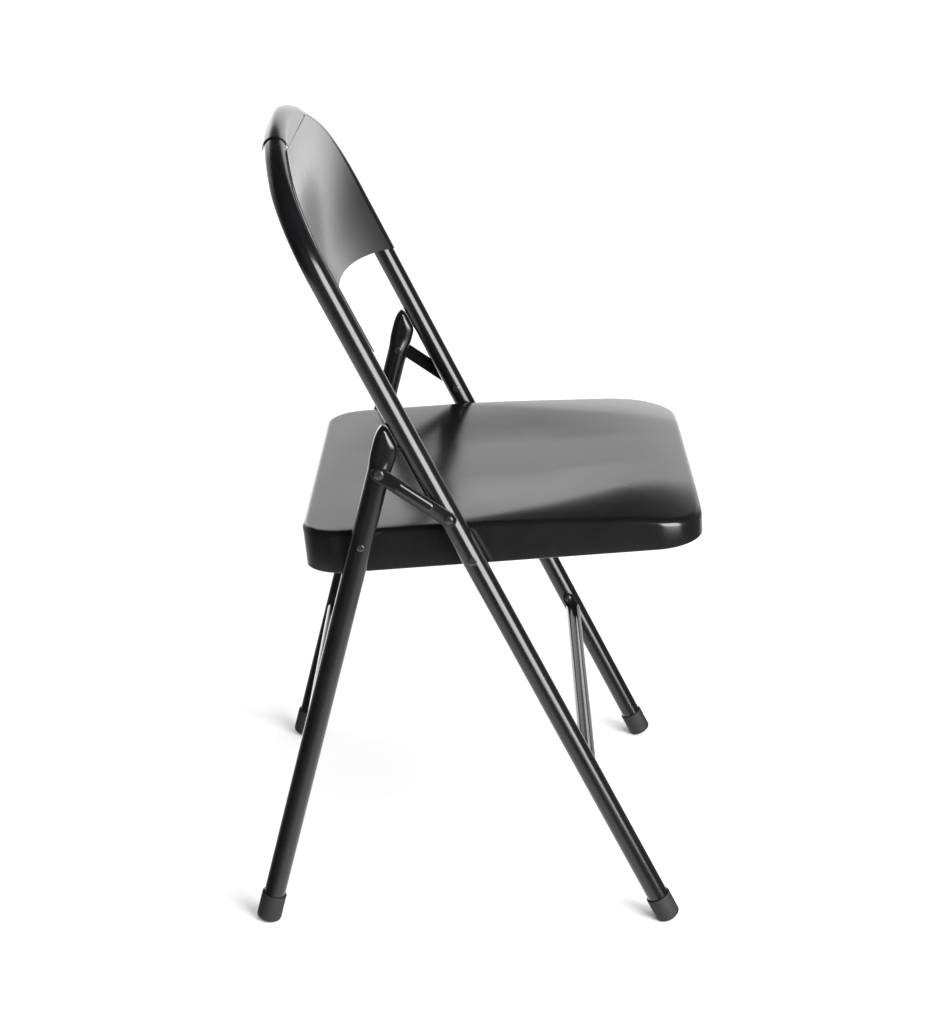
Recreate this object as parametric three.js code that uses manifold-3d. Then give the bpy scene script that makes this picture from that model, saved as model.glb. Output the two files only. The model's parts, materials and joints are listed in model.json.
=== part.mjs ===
// Steel folding chair, modelled open. Millimetres, +Z up, the sitter faces -Y, X runs across.
// The origin is on the floor under the middle of the chair's bounding box.
import * as THREE from 'three';
import { mergeVertices } from 'three/addons/utils/BufferGeometryUtils.js';
import Module from 'manifold-3d';

const wasm = await Module();
wasm.setup();

// ---- Driving dimensions -------------------------------------------------------------------
const tubeRadius = 11;
const tubeWall = 1.2;
const halfSpan = 210; // centre plane to the axis of each leg
const gap = 0.3; // clearance between separate pieces
const round = 16; // sides of a tube section
const turned = { drill: 20, foot: 24, rivet: 16, spacer: 18 }; // sides of each turned shape
const past = 4; // how far a drill runs past the wall that it cuts

const legReach = 206.3; // each leg axis meets the floor this far from the point midway between them
const middle = 6.93; // that point lies this far behind the middle of the bounding box
const front = { slope: 0.505, footY: middle - legReach }; // the axis runs back as it rises
const rear = { slope: -0.2553, footY: middle + legReach }; // the axis runs forward as it rises

const hoop = { cornerStart: 750, cornerRadius: 95, crownRadius: 360, cornerSteps: 7, crownSteps: 8 };
const panel = {
  bottom: 669, archRise: 34, sheet: 1, stand: 0.5, seamDrop: 15.5,
  dishDepth: 34, dishFade: 130, // the dish dies out over this height below the seam
  flush: 0.97, // where it has died out, the sheet stands at this share of its rest on the tube
  columns: 22, rows: 12, rowSpread: 0.85,
};
const seat = {
  halfWidth: 196.5, frontReach: 225.8, rearReach: 166, tilt: THREE.MathUtils.degToRad(4.4),
  bottom: -12.3, rim: 29.4, rimTaper: 0.004, frontCorner: 48, rearCorner: 42, edgeRadius: 5.5,
  sheet: 1.3, hem: 8, hemEdge: 1, tightest: 3,
  topRings: [150, 110, 80, 58, 40, 26, 15], // how far in each ring of the top's facets lies
  undersideRings: [26, 58, 110, 150],
  rollTurns: [30, 60, 90], // degrees, the facets of the rolled edge
};
const seatSide = {
  rearDrop: 0.5, frontDrop: 9.5, rearReach: 12, frontReach: 100, from: -40, to: 240,
  power: 1.35, // near 1, the roll-off starts sharply
};
const seatNose = { drop: 12, reach: 80 };
const seatDish = { depth: 4, start: 0.1, reach: 150, rearReach: 120 };
const head = {
  width: 24.5, thickness: 17, from: 505, to: 518, step: 3.5, square: 0.75,
  boreShort: 2, // the bore stops this far below the pressed part
  flat: 13, // how far the bearing face runs straight along the front tube
  shoulder: 31, // the rear edge starts to curve this far below the corner of the two faces
};
const foot = {
  radius: 12.6, edge: 4, top: 31, lip: 0.5, lipHeight: 1, frontEnd: 3.5, rearEnd: 1.1, tubeEnd: 9,
};
const crossbar = {
  height: 171, width: 16, depth: 9, corner: 4, groove: 1.8, grooveHalf: 2.6, wall: 1.2,
  tab: 1.6, tabInset: 1.5, rivetRise: 13,
};
const crossbarPin = { shank: 2.3, hole: 2.6, head: 4.2, dome: 1.8, reach: 2, domeTurn: 0.6 };
const link = { stand: 0.4, width: 15, plate: 1.8, ribWidth: 6, ribLength: 34, ribHeight: 1 };
const rivet = { shank: 3, hole: 3.3, skirt: 0.25, tailTaper: 0.7, domeTurns: [0.35, 0.7] };
const spacerRadius = 7;

// Radius and height of each linkage rivet's outboard dome and of its inboard tail.
const pin = {
  seatFront: { head: 4.5, dome: 1.1, tail: 5, tailHeight: 1.6 },
  seatRear: { head: 3.8, dome: 1.4, tail: 3.2, tailHeight: 1 },
  linkFront: { head: 4.2, dome: 1.7, tail: 4.2, tailHeight: 1.4 },
  linkRear: { head: 5, dome: 2 },
  linkRearTail: { head: 4.2, dome: 1.4 },
};

// Heights of the four pivots of each side's linkage. Two lie on each tube axis.
const pivotHeight = { seatFront: 398.4, linkFront: 441.5, seatRear: 412.5, linkRear: 486.924 };

// ---- Layout -------------------------------------------------------------------------------
const lean = (tube) => Math.atan(tube.slope);
const pointOn = (tube, z) => new THREE.Vector2(tube.footY + tube.slope * z, z);
const along = (tube, z) => z / Math.cos(lean(tube));
const outerFace = halfSpan + tubeRadius;
const innerFace = halfSpan - tubeRadius;

// A group whose Y runs up a leg's axis and whose Z is the outward normal towards the front.
function legPlane(tube) {
  const group = new THREE.Group();
  group.rotation.x = Math.PI / 2 - lean(tube);
  group.position.y = tube.footY;
  return group;
}

// ---- Materials ----------------------------------------------------------------------------
const paint = new THREE.MeshStandardMaterial({ color: 0x17171a, roughness: 0.32, metalness: 0.1 });
const rivetSteel = new THREE.MeshStandardMaterial({ color: 0x1f1f22, roughness: 0.3, metalness: 0.6 });
const rubber = new THREE.MeshStandardMaterial({ color: 0x2b2b2c, roughness: 0.75, metalness: 0 });
const nylon = new THREE.MeshStandardMaterial({ color: 0x202021, roughness: 0.55, metalness: 0 });

function named(name, geometry, material) {
  const mesh = new THREE.Mesh(geometry, material);
  mesh.name = name;
  return mesh;
}

// ---- Solids -------------------------------------------------------------------------------
function toManifold(geometry) {
  const bare = geometry.clone();
  bare.deleteAttribute('normal');
  bare.deleteAttribute('uv');
  const welded = mergeVertices(bare, 1e-4);
  const vertProperties = new Float32Array(welded.attributes.position.array);
  const triVerts = new Uint32Array(welded.index.array);
  let solid = new wasm.Manifold(new wasm.Mesh({ numProp: 3, vertProperties, triVerts }));
  if (solid.volume() < 0) {
    for (let i = 0; i < triVerts.length; i += 3) triVerts.subarray(i, i + 2).reverse();
    solid = new wasm.Manifold(new wasm.Mesh({ numProp: 3, vertProperties, triVerts }));
  }
  return solid;
}

function toGeometry(solid) {
  const mesh = solid.getMesh();
  const geometry = new THREE.BufferGeometry();
  geometry.setAttribute('position', new THREE.BufferAttribute(new Float32Array(mesh.vertProperties), 3));
  geometry.setIndex(new THREE.BufferAttribute(new Uint32Array(mesh.triVerts), 1));
  geometry.computeVertexNormals();
  return geometry;
}

const join = (parts) => toGeometry(parts.map(toManifold).reduce((a, b) => a.add(b)));
const cut = (body, tools) =>
  toGeometry(tools.map(toManifold).reduce((a, b) => a.subtract(b), toManifold(body)));
const overlap = (a, b) => toGeometry(toManifold(a).intersect(toManifold(b)));

// A drill along X, from x0 to x1, at a point of the YZ plane.
function drill(radius, x0, x1, y, z) {
  const tool = new THREE.CylinderGeometry(radius, radius, Math.abs(x1 - x0), turned.drill);
  return tool.rotateZ(Math.PI / 2).translate((x0 + x1) / 2, y, z);
}

// Stitches closed rings of equal length into one skin. A ring of one point closes an end. The
// facets' diagonals mirror each other across X = 0.
function skin(rings) {
  const position = rings.flat().flatMap((p) => [p.x, p.y, p.z]);
  const index = [];
  let base = 0;
  for (let r = 0; r + 1 < rings.length; r++) {
    const a = rings[r].length;
    const b = rings[r + 1].length;
    const count = Math.max(a, b);
    for (let i = 0; i < count; i++) {
      const j = (i + 1) % count;
      const a0 = base + (a === 1 ? 0 : i);
      const a1 = base + (a === 1 ? 0 : j);
      const b0 = base + a + (b === 1 ? 0 : i);
      const b1 = base + a + (b === 1 ? 0 : j);
      const flip = rings[r][i % a].x + rings[r][j % a].x < 0;
      if (a > 1) index.push(a0, a1, flip ? b1 : b0);
      if (b > 1) index.push(flip ? a0 : a1, b1, b0);
    }
    base += a;
  }
  const geometry = new THREE.BufferGeometry();
  geometry.setAttribute('position', new THREE.Float32BufferAttribute(position, 3));
  geometry.setIndex(index);
  return toGeometry(toManifold(geometry));
}

// ---- Tubes --------------------------------------------------------------------------------
// A path through given stations, so that straights take one step and bends take many.
class StationPath extends THREE.Curve {
  constructor(stations) {
    super();
    this.stations = stations;
  }

  at(u) {
    return this.stations[Math.round(u * (this.stations.length - 1))];
  }

  getPoint(u) {
    return this.at(u).point.clone();
  }

  getPointAt(u) {
    return this.getPoint(u);
  }

  getTangentAt(u) {
    return this.at(u).tangent.clone();
  }
}

function ringSection(outer, inner) {
  const section = new THREE.Shape().absarc(0, 0, outer, 0, Math.PI * 2);
  section.holes.push(new THREE.Path().absarc(0, 0, inner, 0, Math.PI * 2));
  return section;
}

// The hoop's axis: leg, corner, crown, corner, leg, in the plane of the front frame.
const cornerTurn = Math.acos((halfSpan - hoop.cornerRadius) / (hoop.crownRadius - hoop.cornerRadius));
const cornerEnd = hoop.cornerStart + hoop.cornerRadius * Math.sin(cornerTurn);
const crownTop = cornerEnd + hoop.crownRadius * (1 - Math.sin(cornerTurn));

function hoopStations() {
  const { cornerSteps, crownSteps } = hoop;
  const stations = [];
  const add = (x, y, angle) =>
    stations.push({
      point: new THREE.Vector3(x, y, 0),
      tangent: new THREE.Vector3(Math.sin(angle), Math.cos(angle), 0),
    });
  add(-halfSpan, foot.tubeEnd, 0);
  for (let i = 0; i <= cornerSteps; i++) {
    const angle = (cornerTurn * i) / cornerSteps;
    const x = -halfSpan + hoop.cornerRadius * (1 - Math.cos(angle));
    add(x, hoop.cornerStart + hoop.cornerRadius * Math.sin(angle), angle);
  }
  const crownHalf = Math.PI / 2 - cornerTurn;
  for (let i = 1; i < crownSteps; i++) {
    const angle = -crownHalf + (2 * crownHalf * i) / crownSteps;
    const y = crownTop - hoop.crownRadius * (1 - Math.cos(angle));
    add(hoop.crownRadius * Math.sin(angle), y, angle + Math.PI / 2);
  }
  const half = stations.slice(0, cornerSteps + 2).reverse();
  for (const { point, tangent } of half) {
    add(-point.x, point.y, Math.PI - Math.atan2(tangent.x, tangent.y));
  }
  return stations;
}

// Where the axis of the hoop is, across, at a given way up the frame.
function hoopHalfWidth(y) {
  if (y <= hoop.cornerStart) return halfSpan;
  if (y <= cornerEnd) {
    const rise = (y - hoop.cornerStart) / hoop.cornerRadius;
    return halfSpan - hoop.cornerRadius * (1 - Math.sqrt(1 - rise * rise));
  }
  const drop = crownTop - y;
  return Math.sqrt(Math.max(0, 2 * hoop.crownRadius * drop - drop * drop));
}

function frontFrameTube() {
  const stations = hoopStations();
  const tube = new THREE.ExtrudeGeometry(ringSection(tubeRadius, tubeRadius - tubeWall), {
    extrudePath: new StationPath(stations),
    steps: stations.length - 1,
    curveSegments: round / 2,
    bevelEnabled: false,
  });
  const holes = [];
  for (const side of [-1, 1]) {
    for (const z of [pivotHeight.seatFront, pivotHeight.linkFront]) {
      const ends = [side * (innerFace - past), side * (outerFace + past)];
      holes.push(drill(rivet.hole, ...ends, along(front, z), 0));
    }
    holes.push(crossbarDrill(side, front));
  }
  return cut(tube, holes);
}

const crossbarRivetAt = (tube) => along(tube, crossbar.height) + crossbar.rivetRise;
const crossbarDrill = (side, tube) =>
  drill(crossbarPin.hole, side * (innerFace - past), side * halfSpan, crossbarRivetAt(tube), 0);

// ---- Rear legs ----------------------------------------------------------------------------
// The leg's round section is pressed to a flat, wider one above the link pivot.
function legSection(y) {
  const pressed = THREE.MathUtils.smoothstep(y, head.from, head.to);
  const halfX = THREE.MathUtils.lerp(tubeRadius, head.thickness / 2, pressed);
  const halfZ = THREE.MathUtils.lerp(tubeRadius, head.width / 2, pressed);
  const power = THREE.MathUtils.lerp(1, head.square, pressed);
  const ring = [];
  for (let i = 0; i < round; i++) {
    const angle = (2 * Math.PI * i) / round;
    const c = Math.cos(angle);
    const s = Math.sin(angle);
    const x = Math.sign(c) * Math.abs(c) ** power * halfX;
    ring.push(new THREE.Vector3(x, y, s * halfZ));
  }
  return ring;
}

// Side outline of the leg. Its leaf-shaped end bears on the front tube when the chair is open.
function legOutline() {
  const crossing = along(rear, (rear.footY - front.footY) / (front.slope - rear.slope));
  const between = lean(front) - lean(rear);
  const half = head.width / 2;
  const centre = crossing - (half + tubeRadius + gap) / Math.sin(between);
  const outline = new THREE.Shape();
  outline.moveTo(-half - 1, 0);
  outline.lineTo(half + 1, 0);
  outline.lineTo(half + 1, centre);
  outline.absarc(0, centre, half, 0, between);
  const bearing = new THREE.Vector2(-Math.sin(between), Math.cos(between));
  const start = new THREE.Vector2(half * Math.cos(between), centre + half * Math.sin(between));
  const toCorner = (start.x + half) / Math.sin(between);
  const corner = start.clone().addScaledVector(bearing, toCorner);
  start.addScaledVector(bearing, head.flat);
  outline.lineTo(start.x, start.y);
  outline.quadraticCurveTo(corner.x, corner.y, -half, corner.y - head.shoulder);
  outline.lineTo(-half - 1, centre);
  return outline;
}

function rearLeg(side) {
  const heights = [foot.tubeEnd, head.from];
  for (let y = head.from + head.step; y <= head.to; y += head.step) heights.push(y);
  heights.push(head.to + 2 * head.width); // well past the outline that trims it
  const top = new THREE.Vector3(0, heights.at(-1) + 1, 0);
  const bottom = new THREE.Vector3(0, heights[0], 0);
  const blank = skin([[bottom], ...heights.map(legSection), [top]]);
  const depth = 4 * tubeRadius;
  const options = { depth, bevelEnabled: false, curveSegments: 12 };
  const outline = new THREE.ExtrudeGeometry(legOutline(), options);
  outline.translate(0, 0, -depth / 2).rotateY(-Math.PI / 2);
  const boreTop = head.from - head.boreShort;
  const bore = new THREE.CylinderGeometry(tubeRadius - tubeWall, tubeRadius - tubeWall, boreTop, round);
  bore.translate(0, boreTop / 2, 0);
  const tools = [bore, crossbarDrill(side, rear).translate(-side * halfSpan, 0, 0)];
  for (const z of [pivotHeight.seatRear, pivotHeight.linkRear]) {
    tools.push(drill(rivet.hole, -tubeRadius - past, tubeRadius + past, along(rear, z), 0));
  }
  return cut(overlap(blank, outline), tools);
}

// ---- Crossbars ----------------------------------------------------------------------------
// A flattened tube with a groove pressed along its top and its underside.
function crossbarSection(inset) {
  const w = crossbar.width / 2 - inset;
  const d = crossbar.depth / 2 - inset;
  const r = crossbar.corner - inset;
  const g = crossbar.grooveHalf + inset * 0.4;
  const deep = crossbar.groove;
  const path = inset ? new THREE.Path() : new THREE.Shape();
  path.moveTo(-w + r, -d);
  path.lineTo(-g, -d);
  path.quadraticCurveTo(0, -d + 2 * deep, g, -d);
  path.lineTo(w - r, -d);
  path.absarc(w - r, -d + r, r, -Math.PI / 2, 0);
  path.absarc(w - r, d - r, r, 0, Math.PI / 2);
  path.lineTo(g, d);
  path.quadraticCurveTo(0, d - 2 * deep, -g, d);
  path.absarc(-w + r, d - r, r, Math.PI / 2, Math.PI);
  path.absarc(-w + r, -d + r, r, Math.PI, Math.PI * 1.5);
  return path;
}

function crossbarSolid(tube) {
  const reach = innerFace - gap - crossbar.tab;
  const section = crossbarSection(0);
  section.holes.push(crossbarSection(crossbar.wall));
  const options = { depth: 2 * reach, bevelEnabled: false, curveSegments: 3 };
  const bar = new THREE.ExtrudeGeometry(section, options);
  bar.translate(0, 0, -reach).rotateY(Math.PI / 2).rotateX(Math.PI / 2);
  bar.rotateX(lean(tube)); // the grooves face straight up and down
  const parts = [bar];
  const holes = [];
  const tabRadius = crossbar.width / 2 - crossbar.tabInset;
  const tab = new THREE.Shape();
  tab.absarc(0, 0, tabRadius, Math.PI, 0);
  tab.absarc(0, crossbar.rivetRise, tabRadius, 0, Math.PI);
  const tabOptions = { depth: crossbar.tab, bevelEnabled: false, curveSegments: 6 };
  for (const side of [-1, 1]) {
    const plate = new THREE.ExtrudeGeometry(tab, tabOptions);
    plate.rotateY(Math.PI / 2).translate(side > 0 ? reach : -reach - crossbar.tab, 0, 0);
    parts.push(plate);
    const ends = [side * (reach - past), side * (reach + past)];
    holes.push(drill(crossbarPin.hole, ...ends, crossbar.rivetRise, 0));
  }
  return cut(join(parts), holes).translate(0, along(tube, crossbar.height), 0);
}

// ---- Feet ---------------------------------------------------------------------------------
// A moulded sleeve over the leg's end, cut level where it stands on the floor.
function footCap(tube, end) {
  const profile = [new THREE.Vector2(0, end)];
  for (let i = 0; i <= 3; i++) {
    const angle = (Math.PI / 2) * (i / 3);
    const r = foot.radius - foot.edge + foot.edge * Math.sin(angle);
    profile.push(new THREE.Vector2(r, end + foot.edge * (1 - Math.cos(angle))));
  }
  profile.push(new THREE.Vector2(foot.radius, foot.top - foot.lipHeight));
  profile.push(new THREE.Vector2(foot.radius - foot.lip, foot.top));
  profile.push(new THREE.Vector2(tubeRadius + gap, foot.top));
  profile.push(new THREE.Vector2(tubeRadius + gap, foot.tubeEnd - gap));
  profile.push(new THREE.Vector2(0, foot.tubeEnd - gap));
  const cap = new THREE.LatheGeometry(profile, turned.foot);
  const block = 5 * foot.radius;
  const belowFloor = new THREE.BoxGeometry(block, block, block).translate(0, 0, -block / 2);
  belowFloor.rotateX(lean(tube) - Math.PI / 2);
  return cut(cap, [belowFloor]);
}

// ---- Back panel ---------------------------------------------------------------------------
const seam = crownTop - panel.seamDrop;
const panelBottom = (x) => panel.bottom + panel.archRise * (1 - (x / halfSpan) ** 2);

// Distance from the hoop's axis to a point of its plane, positive inside the hoop.
function insideHoop(x, y) {
  const corner = new THREE.Vector2(halfSpan - hoop.cornerRadius, hoop.cornerStart);
  const fromCorner = new THREE.Vector2(Math.abs(x), y).sub(corner);
  if (fromCorner.y <= 0) return halfSpan - Math.abs(x);
  if (fromCorner.x > 0 && Math.atan2(fromCorner.y, fromCorner.x) < cornerTurn) {
    return hoop.cornerRadius - fromCorner.length();
  }
  return hoop.crownRadius - Math.hypot(x, y - crownTop + hoop.crownRadius);
}

// How far the sheet's back face stands in front of the frame's centre plane.
function panelStand(x, y) {
  const half = hoopHalfWidth(y);
  const inward = insideHoop(x, y);
  const rest = tubeRadius + panel.stand;
  const onTube = Math.abs(inward) < rest ? Math.sqrt(rest * rest - inward * inward) : -Infinity;
  const across = Math.min(1, Math.abs(x) / half);
  const fade = THREE.MathUtils.smoothstep(seam - y, 0, panel.dishFade);
  const dish = rest * panel.flush - panel.dishDepth * (1 - across * across) * fade;
  return Math.max(onTube, dish);
}

function backPanel() {
  const { columns, rows } = panel;
  const grid = (offset) => {
    const lines = [];
    for (let j = 0; j <= rows; j++) {
      const line = [];
      for (let i = 0; i <= columns; i++) {
        const across = Math.sin(((i / columns) * 2 - 1) * (Math.PI / 2));
        const up = (j / rows) ** panel.rowSpread;
        const bottom = panelBottom(across * halfSpan);
        const y = THREE.MathUtils.lerp(bottom, seam, up);
        const x = across * hoopHalfWidth(y);
        line.push(new THREE.Vector3(x, y, panelStand(x, y) + offset));
      }
      lines.push(line);
    }
    return lines;
  };
  const back = grid(0);
  const face = grid(panel.sheet);
  const position = [...back.flat(), ...face.flat()].flatMap((p) => [p.x, p.y, p.z]);
  const at = (layer, i, j) => layer * (columns + 1) * (rows + 1) + j * (columns + 1) + i;
  const index = [];
  const quad = (a, b, c, d) => index.push(a, b, c, a, c, d);
  const turnedQuad = (a, b, c, d) => index.push(a, b, d, b, c, d);
  for (let j = 0; j < rows; j++) {
    for (let i = 0; i < columns; i++) {
      const facet = i < columns / 2 ? quad : turnedQuad; // mirrored across the middle
      facet(at(1, i, j), at(1, i + 1, j), at(1, i + 1, j + 1), at(1, i, j + 1));
      facet(at(0, i, j), at(0, i, j + 1), at(0, i + 1, j + 1), at(0, i + 1, j));
    }
    quad(at(0, 0, j), at(1, 0, j), at(1, 0, j + 1), at(0, 0, j + 1));
    quad(at(0, columns, j), at(0, columns, j + 1), at(1, columns, j + 1), at(1, columns, j));
  }
  for (let i = 0; i < columns; i++) {
    quad(at(0, i, 0), at(0, i + 1, 0), at(1, i + 1, 0), at(1, i, 0));
    quad(at(0, i, rows), at(1, i, rows), at(1, i + 1, rows), at(0, i + 1, rows));
  }
  const geometry = new THREE.BufferGeometry();
  geometry.setAttribute('position', new THREE.Float32BufferAttribute(position, 3));
  geometry.setIndex(index);
  return toGeometry(toManifold(geometry));
}

// ---- Seat pan -----------------------------------------------------------------------------
// The outline of the pan, drawn in by a given distance.
function seatOutline(inset) {
  const half = seat.halfWidth - inset;
  const ends = [
    { y: -seat.frontReach + inset, r: Math.max(seat.tightest, seat.frontCorner - inset), from: Math.PI },
    { y: seat.rearReach - inset, r: Math.max(seat.tightest, seat.rearCorner - inset), from: 0 },
  ];
  const corners = [];
  for (const { y, r, from } of ends) {
    for (const quarter of [0, 1]) {
      const turn = from + (quarter * Math.PI) / 2;
      const cx = (Math.cos(turn + Math.PI / 4) > 0 ? 1 : -1) * (half - r);
      const cy = y + (y < 0 ? r : -r);
      corners.push({ cx, cy, r, turn });
    }
  }
  const ring = [];
  const cornerSteps = 6;
  const sideSteps = 4;
  corners.forEach(({ cx, cy, r, turn }, c) => {
    for (let i = 0; i <= cornerSteps; i++) {
      const angle = turn + (Math.PI / 2) * (i / cornerSteps);
      ring.push(new THREE.Vector2(cx + r * Math.cos(angle), cy + r * Math.sin(angle)));
    }
    const next = corners[(c + 1) % corners.length];
    const start = ring.at(-1);
    const end = new THREE.Vector2(next.r, 0).rotateAround(new THREE.Vector2(), next.turn);
    end.add(new THREE.Vector2(next.cx, next.cy));
    for (let i = 1; i < sideSteps; i++) ring.push(start.clone().lerp(end, i / sideSteps));
  });
  return ring;
}

// Height of the top: a shallow dish, sides that roll off more towards the front, a soft front edge.
function seatTop(x, y) {
  const rim = seat.rim + seat.rimTaper * y;
  const sideIn = seat.halfWidth - Math.abs(x);
  const frontIn = y + seat.frontReach;
  const rearIn = seat.rearReach - y;
  const forward = THREE.MathUtils.smoothstep(-y, seatSide.from, seatSide.to);
  const reach = THREE.MathUtils.lerp(seatSide.rearReach, seatSide.frontReach, forward);
  const drop = THREE.MathUtils.lerp(seatSide.rearDrop, seatSide.frontDrop, forward);
  const side = drop * Math.max(0, 1 - sideIn / reach) ** seatSide.power;
  const nose = seatNose.drop * Math.max(0, 1 - frontIn / seatNose.reach) ** 2;
  const acrossIn = Math.min(1, sideIn / seatDish.reach);
  const inside = acrossIn * Math.min(1, frontIn / seatDish.reach) * Math.min(1, rearIn / seatDish.rearReach);
  return rim - side - nose - seatDish.depth * THREE.MathUtils.smoothstep(inside, seatDish.start, 1);
}

function seatPan() {
  const lift = (ring, height) => ring.map((p) => new THREE.Vector3(p.x, p.y, height(p.x, p.y)));
  const top = (drop) => (x, y) => seatTop(x, y) - drop;
  const level = (z) => () => z;
  const middleY = (seat.rearReach - seat.frontReach) / 2;
  const peak = (drop) => [new THREE.Vector3(0, middleY, seatTop(0, middleY) - drop)];
  const rings = [peak(0)];
  for (const inset of [...seat.topRings, seat.edgeRadius]) {
    rings.push(lift(seatOutline(inset), top(0)));
  }
  const roll = (radius, degrees) => {
    const angle = THREE.MathUtils.degToRad(degrees);
    const inset = seat.edgeRadius - radius * Math.sin(angle);
    rings.push(lift(seatOutline(inset), top(seat.edgeRadius - radius * Math.cos(angle))));
  };
  for (const degrees of seat.rollTurns) roll(seat.edgeRadius, degrees);
  rings.push(lift(seatOutline(0), level(seat.bottom + seat.hemEdge)));
  rings.push(lift(seatOutline(seat.hemEdge), level(seat.bottom)));
  rings.push(lift(seatOutline(seat.hem), level(seat.bottom)));
  rings.push(lift(seatOutline(seat.hem), level(seat.bottom + seat.sheet)));
  rings.push(lift(seatOutline(seat.sheet), level(seat.bottom + seat.sheet)));
  for (const degrees of seat.rollTurns.toReversed()) roll(seat.edgeRadius - seat.sheet, degrees);
  for (const inset of [seat.edgeRadius, ...seat.undersideRings]) {
    rings.push(lift(seatOutline(inset), top(seat.sheet)));
  }
  rings.push(peak(seat.sheet));
  const holes = [];
  for (const side of [-1, 1]) {
    const ends = [side * (seat.halfWidth - past), side * (seat.halfWidth + past)];
    for (const at of [new THREE.Vector2(), seatPivotRear()]) {
      holes.push(drill(rivet.hole, ...ends, at.x, at.y));
    }
  }
  return cut(skin(rings), holes);
}

// The rear pivot in the seat's own frame, which is centred on the front pivot and tilted.
function seatPivotRear() {
  const from = pointOn(front, pivotHeight.seatFront);
  return pointOn(rear, pivotHeight.seatRear).sub(from).rotateAround(new THREE.Vector2(), seat.tilt);
}

// ---- Links and rivets ---------------------------------------------------------------------
// A stamped plate with rounded ends, a raised rib and a hole at each end. Y runs along it.
function linkPlate(length, side) {
  const bar = (halfWidth, from, to, depth) => {
    const shape = new THREE.Shape();
    shape.absarc(0, from, halfWidth, Math.PI, 0);
    shape.absarc(0, to, halfWidth, 0, Math.PI);
    return new THREE.ExtrudeGeometry(shape, { depth, bevelEnabled: false, curveSegments: 8 });
  };
  const x = outerFace + link.stand;
  const ribStart = (length - link.ribLength) / 2;
  const plate = bar(link.width / 2, 0, length, link.plate);
  const rib = bar(link.ribWidth / 2, ribStart, ribStart + link.ribLength, link.plate + link.ribHeight);
  const blank = join([plate, rib]).rotateY((side * Math.PI) / 2).translate(side * x, 0, 0);
  const holes = [0, length].map((y) => drill(rivet.hole, side * (x - past), side * (x + past), y, 0));
  return cut(blank, holes);
}

// A rivet along X: a domed head outboard, a shank, and a flat tail inboard where it has one.
function rivetBody(side, headAt, shankTo, { head: headRadius, dome, tail, tailHeight }) {
  const profile = [new THREE.Vector2(0, headAt + dome)];
  for (const turn of rivet.domeTurns) {
    const angle = (turn * Math.PI) / 2;
    profile.push(new THREE.Vector2(headRadius * Math.sin(angle), headAt + dome * Math.cos(angle)));
  }
  profile.push(new THREE.Vector2(headRadius, headAt + dome * rivet.skirt));
  profile.push(new THREE.Vector2(headRadius, headAt));
  profile.push(new THREE.Vector2(rivet.shank, headAt));
  profile.push(new THREE.Vector2(rivet.shank, shankTo));
  if (tail) {
    profile.push(new THREE.Vector2(tail, shankTo));
    profile.push(new THREE.Vector2(tail * rivet.tailTaper, shankTo - tailHeight));
    profile.push(new THREE.Vector2(0, shankTo - tailHeight));
  } else {
    profile.push(new THREE.Vector2(0, shankTo));
  }
  const body = new THREE.LatheGeometry(profile, turned.rivet).rotateZ(-side * (Math.PI / 2));
  return toGeometry(toManifold(body));
}

function washer(side, inner, outer, from, to) {
  const points = [[inner, from], [outer, from], [outer, to], [inner, to], [inner, from]];
  const profile = points.map(([r, x]) => new THREE.Vector2(r, x));
  const body = new THREE.LatheGeometry(profile, turned.spacer).rotateZ(-side * (Math.PI / 2));
  return toGeometry(toManifold(body));
}

function place(mesh, tube, z) {
  mesh.position.set(0, pointOn(tube, z).x, z);
  return mesh;
}

// ---- Assembly -----------------------------------------------------------------------------
const sides = [['right', -1], ['left', 1]];
const chair = new THREE.Group();

function addFrontFrame() {
  const plane = legPlane(front);
  plane.add(named('front_frame_tube', frontFrameTube(), paint));
  plane.add(named('back_panel', backPanel(), paint));
  plane.add(named('front_crossbar', crossbarSolid(front), paint));
  for (const [label, side] of sides) {
    const cap = named(`front_foot_${label}`, footCap(front, foot.frontEnd), rubber);
    cap.position.x = side * halfSpan;
    plane.add(cap);
    plane.add(crossbarRivet('front', front, label, side));
  }
  chair.add(plane);
}

function addRearFrame() {
  const plane = legPlane(rear);
  plane.add(named('rear_crossbar', crossbarSolid(rear), paint));
  for (const [label, side] of sides) {
    const leg = named(`rear_leg_${label}`, rearLeg(side), paint);
    const cap = named(`rear_foot_${label}`, footCap(rear, foot.rearEnd), rubber);
    leg.position.x = side * halfSpan;
    cap.position.x = side * halfSpan;
    plane.add(leg, cap, crossbarRivet('rear', rear, label, side));
  }
  chair.add(plane);
}

// Domed inboard, with its shank ending inside the hollow leg.
function crossbarRivet(end, tube, label, side) {
  const { shank, head: wide, dome, reach, domeTurn } = crossbarPin;
  const face = innerFace - gap - crossbar.tab - gap;
  const shankEnd = innerFace + tubeWall + reach;
  const part = [wide * Math.sin(domeTurn), face - dome * Math.cos(domeTurn)];
  const domed = [[0, face - dome], part, [wide, face - dome * rivet.skirt], [wide, face]];
  const profile = [...domed, [shank, face], [shank, shankEnd], [0, shankEnd]];
  const points = profile.map(([r, x]) => new THREE.Vector2(r, x));
  const body = new THREE.LatheGeometry(points, turned.rivet).rotateZ(-side * (Math.PI / 2));
  const mesh = named(`${end}_crossbar_rivet_${label}`, toGeometry(toManifold(body)), rivetSteel);
  mesh.position.y = crossbarRivetAt(tube);
  return mesh;
}

function addSeat() {
  const pan = named('seat_pan', seatPan(), paint);
  pan.rotation.x = -seat.tilt;
  chair.add(place(pan, front, pivotHeight.seatFront));
}

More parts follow.
